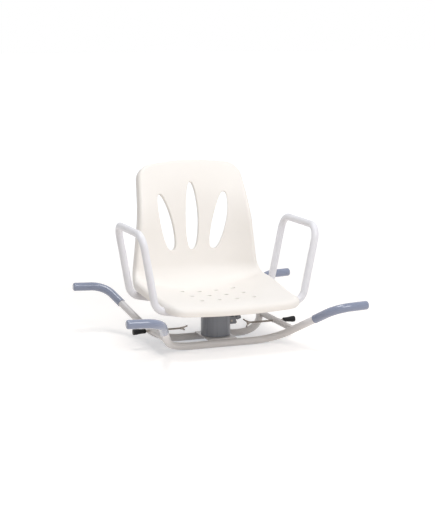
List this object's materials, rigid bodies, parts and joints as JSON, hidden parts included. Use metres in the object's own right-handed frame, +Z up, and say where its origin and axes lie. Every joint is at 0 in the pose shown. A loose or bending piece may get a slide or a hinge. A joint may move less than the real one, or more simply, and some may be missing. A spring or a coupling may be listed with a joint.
{
  "type": "swivel bath chair",
  "caption": "Moulded seat with tube arms that turns on a column over a bent-tube frame, which rests on a bath's rims and clamps between its walls.",
  "frame": {"origin": "floor level under the swivel axis, at the centre of the bounding box's base", "axes": "+X towards the seated person's left and along the width, the seat faces -Y, +Z up along the swivel axis"},
  "size_m": [0.7306, 0.5922, 0.5296],
  "materials": {
    "white_powder_coat": "satin white powder coat on steel",
    "blue_grey_vinyl": "smooth dipped vinyl, blue-grey",
    "white_seat_plastic": "moulded plastic, warm off-white, satin",
    "grey_column_plastic": "moulded plastic, mid grey",
    "grey_lever_plastic": "moulded plastic, dark grey",
    "black_rubber": "moulded rubber, near black",
    "zinc_steel": "zinc-plated steel, dull",
    "plain_steel": "plated steel, satin",
    "nylon": "turned nylon, natural"
  },
  "bodies": {
    "frame": {"front_tube": "white_powder_coat", "rear_tube": "white_powder_coat", "grip_sleeve_front_left": "blue_grey_vinyl", "grip_sleeve_front_right": "blue_grey_vinyl", "grip_sleeve_rear_left": "blue_grey_vinyl", "grip_sleeve_rear_right": "blue_grey_vinyl", "left_brace": "white_powder_coat", "right_brace": "white_powder_coat", "left_screw_bush": "white_powder_coat", "right_screw_bush": "white_powder_coat", "base_plate": "white_powder_coat", "spindle": "plain_steel", "index_disc": "plain_steel", "thrust_washer": "nylon", "retaining_washer": "zinc_steel", "retaining_bolt": "zinc_steel"},
    "seat": {"seat_shell": "white_seat_plastic", "left_arm": "white_powder_coat", "right_arm": "white_powder_coat", "arm_plug_front_left": "black_rubber", "arm_plug_front_right": "black_rubber", "arm_plug_rear_left": "black_rubber", "arm_plug_rear_right": "black_rubber", "arm_bolt_front_left_inner": "zinc_steel", "arm_bolt_front_left_outer": "zinc_steel", "arm_bolt_front_right_inner": "zinc_steel", "arm_bolt_front_right_outer": "zinc_steel", "arm_bolt_rear_left_inner": "zinc_steel", "arm_bolt_rear_left_outer": "zinc_steel", "arm_bolt_rear_right_inner": "zinc_steel", "arm_bolt_rear_right_outer": "zinc_steel", "swivel_plate": "plain_steel", "plate_bolt_front_left": "zinc_steel", "plate_bolt_front_right": "zinc_steel", "plate_bolt_rear_left": "zinc_steel", "plate_bolt_rear_right": "zinc_steel", "swivel_housing": "grey_column_plastic", "housing_screw_front_left": "zinc_steel", "housing_screw_front_right": "zinc_steel", "housing_screw_rear_left": "zinc_steel", "housing_screw_rear_right": "zinc_steel", "lower_bush": "nylon", "upper_bush": "nylon", "lever_bracket": "grey_lever_plastic", "bracket_screw_front": "zinc_steel", "bracket_screw_rear": "zinc_steel", "lever_pin": "zinc_steel"},
    "lock_lever": {"lock_lever": "plain_steel", "lever_knob": "grey_lever_plastic"},
    "left_pad": {"left_pad": "black_rubber"},
    "right_pad": {"right_pad": "black_rubber"},
    "left_screw": {"left_clamp_screw": "zinc_steel"},
    "right_screw": {"right_clamp_screw": "zinc_steel"}
  },
  "joints": [
    {"name": "seat_swivel", "type": "hinge", "parent": "frame", "child": "seat", "pos_m": [0, 0, 0.08], "axis": [0, 0, 1], "continuous": true},
    {"name": "lock_lever_pivot", "type": "hinge", "parent": "seat", "child": "lock_lever", "pos_m": [0.0475, 0, 0.066], "axis": [0, -1, 0], "range_deg": [-12, 0]},
    {"name": "left_pad_slide", "type": "slide", "parent": "frame", "child": "left_pad", "axis": [-1, 0, 0], "range_m": [-0.01, 0.07]},
    {"name": "left_screw_turn", "type": "hinge", "parent": "left_pad", "child": "left_screw", "pos_m": [-0.2, 0, 0.053], "axis": [-1, 0, 0], "range_deg": [-3636, 25236]},
    {"name": "right_pad_slide", "type": "slide", "parent": "frame", "child": "right_pad", "axis": [1, 0, 0], "range_m": [-0.01, 0.07]},
    {"name": "right_screw_turn", "type": "hinge", "parent": "right_pad", "child": "right_screw", "pos_m": [0.2, 0, 0.053], "axis": [1, 0, 0], "range_deg": [-3636, 25236]}
  ],
  "couplings": [
    {"joint": "left_screw_turn", "follows": "left_pad_slide", "rad_per_m": 6283.2},
    {"joint": "right_screw_turn", "follows": "right_pad_slide", "rad_per_m": 6283.2}
  ]
}
